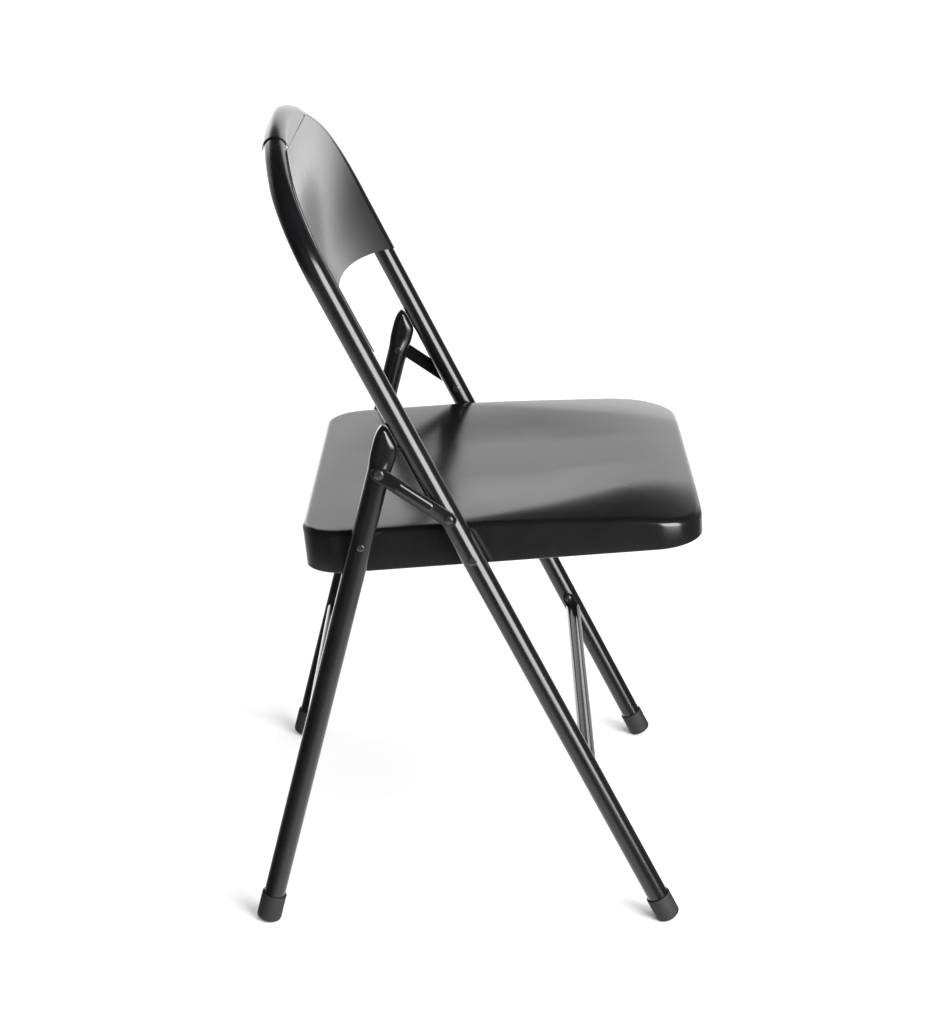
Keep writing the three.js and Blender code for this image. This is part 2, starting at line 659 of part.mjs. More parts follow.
function addLinkage(label, side) {
  const start = pointOn(front, pivotHeight.linkFront);
  const run = pointOn(rear, pivotHeight.linkRear).sub(start);
  const plate = named(`link_${label}`, linkPlate(run.length(), side), paint);
  plate.rotation.x = run.angle();
  chair.add(place(plate, front, pivotHeight.linkFront));

  const onTube = outerFace + gap;
  const onPlate = outerFace + link.stand + link.plate + gap;
  const inSeat = seat.halfWidth - seat.sheet - gap;
  const inTube = innerFace - gap;
  const pins = [
    ['seat_front_rivet', front, pivotHeight.seatFront, onTube, inSeat, pin.seatFront],
    ['seat_rear_rivet', rear, pivotHeight.seatRear, onTube, inSeat, pin.seatRear],
    ['link_front_rivet', front, pivotHeight.linkFront, onPlate, inTube, pin.linkFront],
    ['link_rear_rivet', rear, pivotHeight.linkRear, onPlate, onTube, pin.linkRear],
  ];
  for (const [name, tube, z, ...sizes] of pins) {
    chair.add(place(named(`${name}_${label}`, rivetBody(side, ...sizes), rivetSteel), tube, z));
  }
  // The inner half of the rear link rivet, in the leg. The outer half turns with the link.
  const tail = rivetBody(-side, -inTube, gap - outerFace, pin.linkRearTail);
  chair.add(place(named(`link_rear_tail_${label}`, tail, rivetSteel), rear, pivotHeight.linkRear));

  const spacers = [
    ['seat_front_spacer', front, pivotHeight.seatFront],
    ['seat_rear_spacer', rear, pivotHeight.seatRear],
  ];
  for (const [name, tube, z] of spacers) {
    const ring = washer(side, rivet.hole, spacerRadius, seat.halfWidth + gap, inTube);
    chair.add(place(named(`${name}_${label}`, ring, nylon), tube, z));
  }
}

addFrontFrame();
addRearFrame();
addSeat();
for (const [label, side] of sides) addLinkage(label, side);

export default chair;
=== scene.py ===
import json
import math

import bmesh
import bpy
from mathutils import Matrix, Vector


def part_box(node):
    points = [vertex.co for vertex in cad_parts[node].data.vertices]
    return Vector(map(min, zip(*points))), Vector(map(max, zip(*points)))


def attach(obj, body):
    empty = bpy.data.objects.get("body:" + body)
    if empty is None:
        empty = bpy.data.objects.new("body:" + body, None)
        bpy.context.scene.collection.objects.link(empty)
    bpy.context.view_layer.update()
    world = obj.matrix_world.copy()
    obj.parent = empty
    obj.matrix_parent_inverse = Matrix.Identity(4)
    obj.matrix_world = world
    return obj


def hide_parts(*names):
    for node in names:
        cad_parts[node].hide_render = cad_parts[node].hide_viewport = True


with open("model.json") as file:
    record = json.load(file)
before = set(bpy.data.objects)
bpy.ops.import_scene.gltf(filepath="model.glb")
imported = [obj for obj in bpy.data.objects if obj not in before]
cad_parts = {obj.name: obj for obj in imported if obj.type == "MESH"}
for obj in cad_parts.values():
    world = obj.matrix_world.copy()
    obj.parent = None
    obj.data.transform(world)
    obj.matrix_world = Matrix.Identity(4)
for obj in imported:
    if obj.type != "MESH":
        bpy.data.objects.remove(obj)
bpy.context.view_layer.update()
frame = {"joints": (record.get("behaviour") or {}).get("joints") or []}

# Steel folding chair. Metres, +Z up, X across the chair, the sitter faces -Y, left is +X.
SIDES = {"right": -1, "left": 1}
MM = 0.001

# ---- Camera ---------------------------------------------------------------------------------
CAMERA_AT = Vector((-1.9928, -0.0170, 1.1134))
CAMERA_LOOKS_AT = Vector((0, 0.0088, 0.366))
CAMERA_ROLL = math.radians(-0.359)
CAMERA_LENS = 70.56


def link_object(name, data):
    made = bpy.data.objects.new(name, data)
    bpy.context.scene.collection.objects.link(made)
    return made


def aimed(at, target):
    return Matrix.Translation(at) @ (target - at).to_track_quat("-Z", "Y").to_matrix().to_4x4()


def make_camera():
    data = bpy.data.cameras.new("camera")
    data.lens = CAMERA_LENS
    camera = link_object("camera", data)
    camera.matrix_world = aimed(CAMERA_AT, CAMERA_LOOKS_AT) @ Matrix.Rotation(CAMERA_ROLL, 4, "Z")
    bpy.context.scene.camera = camera


make_camera()

# ---- Driving dimensions, the same as the CAD model's ----------------------------------------
TUBE = 11 * MM  # outer radius of a leg
WALL = 1.2 * MM
TUBE_SIDES = 48
HALF_SPAN = 210 * MM  # centre plane to a leg's axis
GAP = 0.3 * MM
LEG_REACH = 206.3 * MM
MIDDLE = 6.93 * MM  # half way between the feet, along Y
FRONT = {"slope": 0.505, "foot_y": MIDDLE - LEG_REACH, "end": 3.5 * MM}
REAR = {"slope": -0.2553, "foot_y": MIDDLE + LEG_REACH, "end": 1.1 * MM}
TUBE_END = 9 * MM
CORNER_START = 750 * MM
CORNER_RADIUS = 95 * MM
CROWN_RADIUS = 360 * MM
OUTER_FACE = HALF_SPAN + TUBE
INNER_FACE = HALF_SPAN - TUBE
CROSSBAR_HEIGHT = 171 * MM
CROSSBAR_WIDTH = 16 * MM
CROSSBAR_DEPTH = 9 * MM
RIVET_RISE = 13 * MM
TAB = 1.6 * MM
SEAT_TILT = math.radians(4.4)
SEAT_HALF = 196.5 * MM
SEAT_SHEET = 1.3 * MM


def joint_at(name):
    return Vector(next(j for j in frame["joints"] if j["name"] == name)["pos_m"])


SEAT_FRONT = joint_at("seat_fold")
SEAT_REAR = joint_at("rear_leg_fold")
LINK_FRONT = joint_at("link_fold_left")
LINK_REAR = sum(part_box("link_rear_tail_left"), Vector()) / 2


def smoothstep(value, low, high):
    t = min(1, max(0, (value - low) / (high - low)))
    return t * t * (3 - 2 * t)


def lerp(a, b, t):
    return a + (b - a) * t


def steps(count):
    return [i / count for i in range(count + 1)]


def quarter_turn(count):
    """Angles from 0 to a right angle."""
    return [t * math.pi / 2 for t in steps(count)]


def full_turn(count):
    """Angles round a circle, without its last point."""
    return [2 * math.pi * i / count for i in range(count)]


def unit(angle):
    """The direction at an angle from X, in the XY plane."""
    return Vector((math.cos(angle), math.sin(angle), 0))


def along(leg, z):
    """Distance up a leg's axis to a height."""
    return z * math.hypot(1, leg["slope"])


def leg_plane(leg, x=0):
    """X across, Y up the leg's axis, Z out towards the front of the chair."""
    tilt = math.pi / 2 - math.atan(leg["slope"])
    return Matrix.Translation((x, leg["foot_y"], 0)) @ Matrix.Rotation(tilt, 4, "X")


# ---- Meshes ---------------------------------------------------------------------------------
def add_skin(bm, rings, loop=False):
    """Joins rings of equal length. Without a loop, the first and last ring are closed by a face."""
    made = [[bm.verts.new(p) for p in ring] for ring in rings]
    pairs = list(zip(made, made[1:] + made[:1])) if loop else list(zip(made, made[1:]))
    for a, b in pairs:
        for i in range(len(a)):
            j = (i + 1) % len(a)
            bm.faces.new((a[i], a[j], b[j], b[i]))
    if not loop:
        bm.faces.new(reversed(made[0]))
        bm.faces.new(made[-1])


def add_lathe(bm, profile, sides=48):
    """Turns (radius, height) pairs about Z. The first and last lie on the axis, or it is a ring."""
    ring = profile[0][0] > 0
    inner = profile if ring else profile[1:-1]
    turns = full_turn(sides)
    rows = [[bm.verts.new((r * math.cos(t), r * math.sin(t), z)) for t in turns] for r, z in inner]
    pairs = list(zip(rows, rows[1:] + rows[:1])) if ring else list(zip(rows, rows[1:]))
    for a, b in pairs:
        for i in range(sides):
            j = (i + 1) % sides
            bm.faces.new((a[i], a[j], b[j], b[i]))
    if not ring:
        for end, row in ((profile[0], rows[0]), (profile[-1], rows[-1])):
            tip = bm.verts.new((0, 0, end[1]))
            for i in range(sides):
                bm.faces.new((row[i], row[(i + 1) % sides], tip))


def outboard(side):
    """Turns a lathe's Z to point outboard along X."""
    return Matrix.Rotation(side * math.pi / 2, 4, "Y")


def make_piece(name, bm, matrix, body, slot, crease=40):
    """Makes the bmesh a smooth piece that rides on a body and stands for the CAD node of its name."""
    bmesh.ops.recalc_face_normals(bm, faces=bm.faces)
    mesh = bpy.data.meshes.new(name)
    bm.to_mesh(mesh)
    bm.free()
    mesh.transform(matrix)
    mesh.shade_smooth()
    mesh.set_sharp_from_angle(angle=math.radians(crease))
    mesh.materials.append(MATERIALS[slot])
    piece = link_object(name + "_detail", mesh)
    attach(piece, body)
    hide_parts(name)
    return piece


# ---- Materials ------------------------------------------------------------------------------
class Shader:
    """A Principled material whose noise lies in the piece's own space, in metres."""

    def __init__(self, name):
        self.material = bpy.data.materials.new(name)
        self.material.use_nodes = True
        self.tree = self.material.node_tree
        self.surface = self.tree.nodes["Principled BSDF"]
        self.place = self.tree.nodes.new("ShaderNodeTexCoord").outputs["Object"]

    def set(self, **values):
        for name, value in values.items():
            self.surface.inputs[name.replace("_", " ")].default_value = value

    def noise(self, scale, detail=3, stretch=(1, 1, 1)):
        mapping = self.tree.nodes.new("ShaderNodeMapping")
        mapping.inputs["Scale"].default_value = stretch
        self.tree.links.new(self.place, mapping.inputs["Vector"])
        noise = self.tree.nodes.new("ShaderNodeTexNoise")
        noise.inputs["Scale"].default_value = scale
        noise.inputs["Detail"].default_value = detail
        self.tree.links.new(mapping.outputs["Vector"], noise.inputs["Vector"])
        return noise.outputs["Fac"]

    def ramp(self, source, dark, light, low=0.15, high=0.85):
        ramp = self.tree.nodes.new("ShaderNodeValToRGB")
        first, last = ramp.color_ramp.elements
        first.position, last.position = low, high
        first.color, last.color = (*dark, 1), (*light, 1)
        self.tree.links.new(source, ramp.inputs["Fac"])
        return ramp.outputs["Color"]

    def colour(self, source, dark, light):
        self.tree.links.new(self.ramp(source, dark, light), self.surface.inputs["Base Color"])

    def roughness(self, source, low, high):
        spread = self.tree.nodes.new("ShaderNodeMapRange")
        spread.inputs["From Min"].default_value = 0.1
        spread.inputs["From Max"].default_value = 0.9
        spread.inputs["To Min"].default_value = low
        spread.inputs["To Max"].default_value = high
        self.tree.links.new(source, spread.inputs["Value"])
        self.tree.links.new(spread.outputs["Result"], self.surface.inputs["Roughness"])

    def bump(self, *layers):
        """Each layer is (height source, distance in metres, strength)."""
        normal = None
        for source, distance, strength in layers:
            bump = self.tree.nodes.new("ShaderNodeBump")
            bump.inputs["Distance"].default_value = distance
            bump.inputs["Strength"].default_value = strength
            self.tree.links.new(source, bump.inputs["Height"])
            if normal:
                self.tree.links.new(normal, bump.inputs["Normal"])
            normal = bump.outputs["Normal"]
        self.tree.links.new(normal, self.surface.inputs["Normal"])


def black_paint():
    """Powder coat: a soft, faint orange peel, and a gloss that varies a little."""
    shader = Shader("black_paint")
    shader.set(IOR=1.5)
    shader.colour(shader.noise(30), (0.0035, 0.0036, 0.004), (0.006, 0.0061, 0.0066))
    shader.roughness(shader.noise(60, detail=2), 0.18, 0.215)
    shader.bump((shader.noise(260, detail=1), 0.00001, 0.1))
    return shader.material


def rivet_steel():
    """Blackened steel, turned and struck, so its scratches run round the dome."""
    shader = Shader("rivet_steel")
    shader.set(Metallic=0.55, IOR=1.6)
    shader.colour(shader.noise(420), (0.018, 0.018, 0.02), (0.045, 0.045, 0.048))
    shader.roughness(shader.noise(900, detail=4), 0.12, 0.22)
    shader.bump((shader.noise(1600, stretch=(4, 1, 1)), 0.00002, 0.4))
    return shader.material


def foot_rubber():
    """Moulded rubber, matt and slightly dusty."""
    shader = Shader("foot_rubber")
    shader.set(IOR=1.45)
    shader.colour(shader.noise(60, detail=5), (0.007, 0.007, 0.007), (0.014, 0.0137, 0.0134))
    shader.roughness(shader.noise(120), 0.6, 0.8)
    shader.bump((shader.noise(1500), 0.00004, 0.5), (shader.noise(160), 0.00008, 0.3))
    return shader.material


def spacer_nylon():
    """Turned nylon, satin, with fine tool rings."""
    shader = Shader("spacer_nylon")
    shader.set(IOR=1.53)
    shader.colour(shader.noise(200), (0.012, 0.012, 0.013), (0.022, 0.022, 0.023))
    shader.roughness(shader.noise(300), 0.4, 0.52)
    shader.bump((shader.noise(900, stretch=(6, 1, 1)), 0.00003, 0.4))
    return shader.material


MATERIALS = {make.__name__: make() for make in (black_paint, rivet_steel, foot_rubber, spacer_nylon)}

# ---- The hoop -------------------------------------------------------------------------------
CORNER_TURN = math.acos((HALF_SPAN - CORNER_RADIUS) / (CROWN_RADIUS - CORNER_RADIUS))
CORNER_END = CORNER_START + CORNER_RADIUS * math.sin(CORNER_TURN)
CROWN_TOP = CORNER_END + CROWN_RADIUS * (1 - math.sin(CORNER_TURN))


def hoop_half_width(y):
    """How far the hoop's axis is from the centre plane, at a way up the frame."""
    if y <= CORNER_START:
        return HALF_SPAN
    if y <= CORNER_END:
        rise = (y - CORNER_START) / CORNER_RADIUS
        return HALF_SPAN - CORNER_RADIUS * (1 - math.sqrt(1 - rise * rise))
    drop = CROWN_TOP - y
    return math.sqrt(max(0, 2 * CROWN_RADIUS * drop - drop * drop))


def inside_hoop(x, y):
    """Distance from the hoop's axis to a point of its plane, positive inside the hoop."""
    dx = abs(x) - (HALF_SPAN - CORNER_RADIUS)
    dy = y - CORNER_START
    if dy <= 0:
        return HALF_SPAN - abs(x)
    if dx > 0 and math.atan2(dy, dx) < CORNER_TURN:
        return CORNER_RADIUS - math.hypot(dx, dy)
    return CROWN_RADIUS - math.hypot(x, y - CROWN_TOP + CROWN_RADIUS)


def hoop_path():
    """Points of the hoop's axis with the direction outwards from it, both in the frame's plane."""
    path = [(Vector((-HALF_SPAN, lerp(TUBE_END, CORNER_START, t), 0)), math.pi) for t in steps(24)]
    centre = Vector((CORNER_RADIUS - HALF_SPAN, CORNER_START, 0))
    for t in steps(28)[1:]:
        angle = math.pi - CORNER_TURN * t
        path.append((centre + unit(angle) * CORNER_RADIUS, angle))
    middle = Vector((0, CROWN_TOP - CROWN_RADIUS, 0))
    for t in steps(30)[1:]:
        angle = lerp(math.pi - CORNER_TURN, math.pi / 2, t)
        path.append((middle + unit(angle) * CROWN_RADIUS, angle))
    mirrored = [(Vector((-p.x, p.y, 0)), math.pi - angle) for p, angle in reversed(path[:-1])]
    return path + mirrored


def front_frame_tube():
    bm = bmesh.new()
    out = Vector((0, 0, 1))
    turns = full_turn(TUBE_SIDES)
    rings = []
    for radius in (TUBE, TUBE - WALL):
        layer = []
        for point, angle in hoop_path():
            spoke = unit(angle)
            layer.append([point + (spoke * math.cos(t) + out * math.sin(t)) * radius for t in turns])
        rings += layer if radius == TUBE else reversed(layer)
    add_skin(bm, rings, loop=True)
    make_piece("front_frame_tube", bm, leg_plane(FRONT), "front_frame", "black_paint")


# ---- Back panel -----------------------------------------------------------------------------
SHEET = 1 * MM
PANEL_STAND = TUBE + 0.5 * MM  # the sheet's back face rests this far from the tube's axis
PANEL_BOTTOM = 669 * MM
ARCH_RISE = 34 * MM
DISH_DEPTH = 34 * MM
DISH_FADE = 130 * MM
FLUSH = 0.97
SEAM = CROWN_TOP - 15.5 * MM
SEAM_SLOT = 0.6 * MM
WRAP_SHEET = 0.7 * MM
WRAP_END = math.radians(14)  # the wrap over the crown ends at this angle to each side
WRAP_BACK = math.radians(-70)  # and at this angle round the tube, behind it


def panel_stand(x, y):
    inward = inside_hoop(x, y)
    on_tube = math.sqrt(PANEL_STAND**2 - inward**2) if abs(inward) < PANEL_STAND else -1
    across = min(1, abs(x) / hoop_half_width(y))
    fade = smoothstep(SEAM - y, 0, DISH_FADE)
    return max(on_tube, PANEL_STAND * FLUSH - DISH_DEPTH * (1 - across * across) * fade)


def add_sheet(bm, surface, thickness):
    """Closes a grid of (point, offset direction) into a sheet, shut along its edge by flat faces."""
    back = [[bm.verts.new(p) for p, _ in line] for line in surface]
    face = [[bm.verts.new(p + n * thickness) for p, n in line] for line in surface]
    rows, columns = len(surface), len(surface[0])
    for j in range(rows - 1):
        for i in range(columns - 1):
            bm.faces.new((face[j][i], face[j][i + 1], face[j + 1][i + 1], face[j + 1][i]))
            bm.faces.new((back[j][i], back[j + 1][i], back[j + 1][i + 1], back[j][i + 1]))
    edge = [(0, i) for i in range(columns)] + [(j, columns - 1) for j in range(1, rows)]
    edge += [(rows - 1, i) for i in range(columns - 2, -1, -1)]
    edge += [(j, 0) for j in range(rows - 2, 0, -1)]
    for (j, i), (l, k) in zip(edge, edge[1:] + edge[:1]):
        bm.faces.new((back[j][i], back[l][k], face[l][k], face[j][i]))


def back_panel():
    """The dished sheet, and above its seam the part that wraps over the crown of the tube."""
    bm = bmesh.new()
    out = Vector((0, 0, 1))
    grid = []
    for t in steps(90):
        line = []
        for s in steps(132):
            across = math.sin((2 * s - 1) * math.pi / 2)
            bottom = PANEL_BOTTOM + ARCH_RISE * (1 - across * across)
            y = lerp(bottom, SEAM, t)
            x = across * hoop_half_width(y)
            line.append((Vector((x, y, panel_stand(x, y))), out))
        grid.append(line)
    add_sheet(bm, grid, SHEET)
    wrap = []
    for s in steps(48):
        turn = lerp(-WRAP_END, WRAP_END, s)
        spoke = Vector((math.sin(turn), math.cos(turn), 0))
        axis = Vector((0, CROWN_TOP - CROWN_RADIUS, 0)) + spoke * CROWN_RADIUS
        depth = (axis.y - SEAM - SEAM_SLOT) / math.cos(turn)
        flat = math.acos(-math.sqrt(1 - FLUSH**2))
        start = min(flat, math.acos(max(-1, min(1, -depth / PANEL_STAND))))
        line = []
        for t in steps(4)[:-1]:
            inward = lerp(depth, -PANEL_STAND * math.cos(start), t)
            line.append((axis - spoke * inward + out * PANEL_STAND * math.sin(start), out))
        for t in steps(22):
            angle = lerp(start, WRAP_BACK, t)
            ray = spoke * math.cos(angle) + out * math.sin(angle)
            line.append((axis + ray * PANEL_STAND, ray))
        wrap.append(line)
    add_sheet(bm, wrap, WRAP_SHEET)
    make_piece("back_panel", bm, leg_plane(FRONT), "front_frame", "black_paint", crease=30)


# ---- Seat -----------------------------------------------------------------------------------
SEAT_FRONT_REACH = 225.8 * MM
SEAT_REAR_REACH = 166 * MM
SEAT_BOTTOM = -12.3 * MM
SEAT_RIM = 29.4 * MM
RIM_TAPER = 0.004
FRONT_CORNER = 48 * MM
REAR_CORNER = 42 * MM
TIGHTEST = 3 * MM
EDGE_RADIUS = 5.5 * MM
HEM = 8 * MM
DISH = 4 * MM
DISH_EDGE = {"side": 150 * MM, "front": 150 * MM, "rear": 120 * MM}  # the dish slopes in over these
ROLL_POWER = 1.35  # near 1, the sides' roll-off starts sharply
ROLL = {"rear_drop": 0.5 * MM, "front_drop": 9.5 * MM, "rear_reach": 12 * MM, "front_reach": 100 * MM}
ROLL_FROM = -40 * MM  # forward of the pivot, where the roll-off starts to grow
ROLL_TO = 240 * MM
NOSE_DROP = 12 * MM
NOSE_REACH = 80 * MM
HEM_RADIUS = 1.6 * MM
TOP_CENTRE = 165 * MM  # the innermost ring's inset


def seat_outline(inset):
    """The pan's outline, drawn in by a distance. Every outline has the same number of points."""
    half = SEAT_HALF - inset
    front = max(TIGHTEST, FRONT_CORNER - inset)
    rear = max(TIGHTEST, REAR_CORNER - inset)
    y0, y1 = inset - SEAT_FRONT_REACH, SEAT_REAR_REACH - inset
    corners = [
        (Vector((half - rear, y1 - rear)), rear),
        (Vector((rear - half, y1 - rear)), rear),
        (Vector((front - half, y0 + front)), front),
        (Vector((half - front, y0 + front)), front),
    ]
    ring = []
    for c, (centre, radius) in enumerate(corners):
        for t in steps(16):
            angle = (c + t) * math.pi / 2
            ring.append(centre + radius * Vector((math.cos(angle), math.sin(angle))))
        following, next_radius = corners[(c + 1) % 4]
        angle = (c + 1) * math.pi / 2
        end = following + next_radius * Vector((math.cos(angle), math.sin(angle)))
        start = ring[-1]
        ring += [start.lerp(end, t) for t in steps(26)[1:-1]]
    return ring


def seat_top(p):
    rim = SEAT_RIM + RIM_TAPER * p.y
    side_in = SEAT_HALF - abs(p.x)
    front_in = p.y + SEAT_FRONT_REACH
    rear_in = SEAT_REAR_REACH - p.y
    forward = smoothstep(-p.y, ROLL_FROM, ROLL_TO)
    reach = lerp(ROLL["rear_reach"], ROLL["front_reach"], forward)
    drop = lerp(ROLL["rear_drop"], ROLL["front_drop"], forward)
    side = drop * max(0, 1 - side_in / reach) ** ROLL_POWER
    nose = NOSE_DROP * max(0, 1 - front_in / NOSE_REACH) ** 2
    inside = min(1, side_in / DISH_EDGE["side"]) * min(1, front_in / DISH_EDGE["front"])
    inside *= min(1, rear_in / DISH_EDGE["rear"])
    return rim - side - nose - DISH * smoothstep(inside, 0.1, 1)


def seat_pan():
    """One skin, from the middle of the top round the apron and its hem to the middle underneath."""
    def lifted(inset, drop):
        return [Vector((p.x, p.y, seat_top(p) - drop)) for p in seat_outline(inset)]

    def level(inset, z):
        return [Vector((p.x, p.y, z)) for p in seat_outline(inset)]

    def roll(radius, turn):
        inset = EDGE_RADIUS - radius * math.sin(turn)
        return lifted(inset, EDGE_RADIUS - radius * math.cos(turn))

    insets = [lerp(TOP_CENTRE, EDGE_RADIUS, t) for t in steps(54)]
    quarter = quarter_turn(8)[1:]
    rings = [lifted(inset, 0) for inset in insets]
    rings += [roll(EDGE_RADIUS, turn) for turn in quarter]
    rings += [level(0, SEAT_BOTTOM + HEM_RADIUS)]
    for turn in quarter:
        inset = HEM_RADIUS * (1 - math.cos(turn))
        rings.append(level(inset, SEAT_BOTTOM + HEM_RADIUS * (1 - math.sin(turn))))
    rings += [level(HEM, SEAT_BOTTOM), level(HEM, SEAT_BOTTOM + SEAT_SHEET)]
    rings += [level(SEAT_SHEET, SEAT_BOTTOM + SEAT_SHEET)]
    rings += [roll(EDGE_RADIUS - SEAT_SHEET, turn) for turn in reversed(quarter)]
    rings += [lifted(inset, SEAT_SHEET) for inset in reversed(insets)]
    bm = bmesh.new()
    add_skin(bm, rings)
    place = Matrix.Translation(SEAT_FRONT) @ Matrix.Rotation(-SEAT_TILT, 4, "X")
    make_piece("seat_pan", bm, place, "seat", "black_paint", crease=50)


# ---- Rear legs ------------------------------------------------------------------------------
HEAD_WIDTH = 24.5 * MM
HEAD_THICKNESS = 17 * MM
HEAD_FROM = 499 * MM  # the tube is pressed from here
HEAD_TO = 518 * MM  # and has the head's full width from here
HEAD_FLAT = 13 * MM
HEAD_SHOULDER = 31 * MM
HEAD_SQUARE = 0.75
HEAD_ROUND = 4 * MM  # how far below the tip the head thins to its rounded edge
TIP_CUT = 0.05 * MM  # the tip stops this short of the outline's peak
TIP_FACE = 0.01 * MM  # and its last ring this far below the tip, so that it has an area


def head_outline():
    """The side of the pressed head, as (z, y) points from its front edge over to its rear edge."""
    crossing = along(REAR, (REAR["foot_y"] - FRONT["foot_y"]) / (FRONT["slope"] - REAR["slope"]))
    between = math.atan(FRONT["slope"]) - math.atan(REAR["slope"])
    half = HEAD_WIDTH / 2
    centre = crossing - (half + TUBE + GAP) / math.sin(between)
    turns = [between * t for t in steps(24)]
    outline = [Vector((half * math.cos(turn), centre + half * math.sin(turn))) for turn in turns]
    bearing = Vector((-math.sin(between), math.cos(between)))
    to_corner = (outline[-1].x + half) / math.sin(between)
    corner = outline[-1] + bearing * to_corner
    start = outline[-1] + bearing * HEAD_FLAT
    end = Vector((-half, corner.y - HEAD_SHOULDER))
    outline += [start.lerp(corner, t).lerp(corner.lerp(end, t), t) for t in steps(30)]
    return outline


def crossing_at(outline, y):
    """The (rear, front) limits of the head's outline at a height below its tip."""
    hits = []
    for a, b in zip(outline, outline[1:]):
        if (a.y - y) * (b.y - y) <= 0 and a.y != b.y:
            hits.append(lerp(a.x, b.x, (y - a.y) / (b.y - a.y)))
    front = max(hits) if y > outline[0].y else HEAD_WIDTH / 2
    rear = min(hits) if y > outline[-1].y else -HEAD_WIDTH / 2
    return rear, front


def leg_ring(y, outline, tip, shrink=0):
    """The leg's section at a height: round below, and pressed wide and square at the head."""
    pressed = smoothstep(y, HEAD_FROM, HEAD_TO)
    rear, front = crossing_at(outline, y) if y > HEAD_TO else (-HEAD_WIDTH / 2, HEAD_WIDTH / 2)
    rear, front = lerp(-TUBE, rear, pressed), lerp(TUBE, front, pressed)
    rear, front = rear + shrink, front - shrink
    left = max(0, min(1, (tip - y) / HEAD_ROUND))
    thick = lerp(TUBE, HEAD_THICKNESS / 2, pressed) * math.sqrt(1 - (1 - left) ** 2) - shrink
    power = lerp(1, HEAD_SQUARE, pressed)
    ring = []
    for turn in full_turn(TUBE_SIDES):
        c, s = math.cos(turn), math.sin(turn)
        x = math.copysign(abs(c) ** power, c) * thick
        ring.append(Vector((x, y, (rear + front) / 2 + s * (front - rear) / 2)))
    return ring


def rear_leg(label, side):
    outline = head_outline()
    tip = max(p.y for p in outline) - TIP_CUT
    heights = [lerp(TUBE_END, HEAD_FROM, t) for t in steps(24)]
    heights += [lerp(HEAD_FROM, HEAD_TO, t) for t in steps(16)[1:]]
    heights += [lerp(HEAD_TO, tip, math.sin(t * math.pi / 2)) for t in steps(36)[1:]]
    heights[-1] = tip - TIP_FACE
    bore = [y for y in heights if y <= HEAD_FROM]
    rings = [leg_ring(y, outline, tip, WALL) for y in reversed(bore)]
    rings += [leg_ring(y, outline, tip) for y in heights]
    bm = bmesh.new()
    add_skin(bm, rings)
    make_piece(f"rear_leg_{label}", bm, leg_plane(REAR, side * HALF_SPAN), "rear_frame", "black_paint")


# ---- Crossbars ------------------------------------------------------------------------------
GROOVE = 1.8 * MM
GROOVE_HALF = 2.9 * MM
GROOVE_FADE = 34 * MM
BAR_CORNER = 3.8 * MM
TAB_SOFT = 0.3 * MM
TAB_OVERLAP = 0.1 * MM
TAB_MARGIN = 1.5 * MM  # the tab at each end is this much narrower than the bar, to each side


def bar_section(groove):
    """Half of a flattened tube from its rear edge to its front edge, then mirrored below."""
    w, d = CROSSBAR_WIDTH / 2, CROSSBAR_DEPTH / 2
    corner = []
    for angle in quarter_turn(8):
        x = w - BAR_CORNER * (1 - math.cos(angle))
        corner.append(Vector((x, d - BAR_CORNER * (1 - math.sin(angle)))))
    upper = [Vector((-p.x, p.y)) for p in corner]
    for t in steps(16)[1:-1]:
        x = lerp(BAR_CORNER - w, w - BAR_CORNER, t)
        upper.append(Vector((x, d - groove * math.exp(-((x / GROOVE_HALF) ** 4)))))
    upper += reversed(corner)
    return upper + [Vector((p.x, -p.y)) for p in reversed(upper)]


def crossbar(end, leg, body):
    """A grooved bar with a flat tab at each end, where it is riveted to the leg."""
    reach = INNER_FACE - GAP - TAB
    bm = bmesh.new()
    rings = []
    for t in steps(60):
        x = lerp(-reach, reach, t)
        groove = GROOVE * smoothstep(reach - abs(x), 6 * MM, GROOVE_FADE)
        rings.append([Vector((x, p.x, p.y)) for p in bar_section(groove)])
    add_skin(bm, rings)
    flat = Matrix.Rotation(math.atan(leg["slope"]) - math.pi / 2, 4, "X")
    bmesh.ops.transform(bm, matrix=flat, verts=bm.verts)
    radius = CROSSBAR_WIDTH / 2 - TAB_MARGIN
    for side in SIDES.values():
        inner, outer = side * (reach - TAB_OVERLAP), side * (reach + TAB)
        rings = []
        for across, inset in ((0, TAB_SOFT), (0.25, 0), (0.75, 0), (1, TAB_SOFT)):
            x = lerp(inner, outer, across)
            rings.append([Vector((x, p.y, p.x)) for p in stadium(radius - inset, 0, RIVET_RISE)])
        add_skin(bm, rings)
    place = leg_plane(leg) @ Matrix.Translation((0, along(leg, CROSSBAR_HEIGHT), 0))
    make_piece(f"{end}_crossbar", bm, place, body, "black_paint")


def stadium(half_width, start, stop, count=20):
    """A strip with round ends, along Y from start to stop."""
    turns = [math.pi * t for t in steps(count)]
    arc = [Vector((half_width * math.cos(turn), half_width * math.sin(turn))) for turn in turns]
    return [Vector((0, start)) - p for p in arc] + [Vector((0, stop)) + p for p in arc]


# ---- Links ----------------------------------------------------------------------------------
LINK_WIDTH = 15 * MM
LINK_PLATE = 1.8 * MM
LINK_STAND = 0.4 * MM
LINK_BREAK = 0.4 * MM  # bevel of the inner edge
LINK_ROUND = 0.6 * MM  # radius of the outer edge
RIB_FLARE = 1.2 * MM
RIB_WIDTH = 6 * MM
RIB_LENGTH = 34 * MM
RIB_HEIGHT = 1 * MM


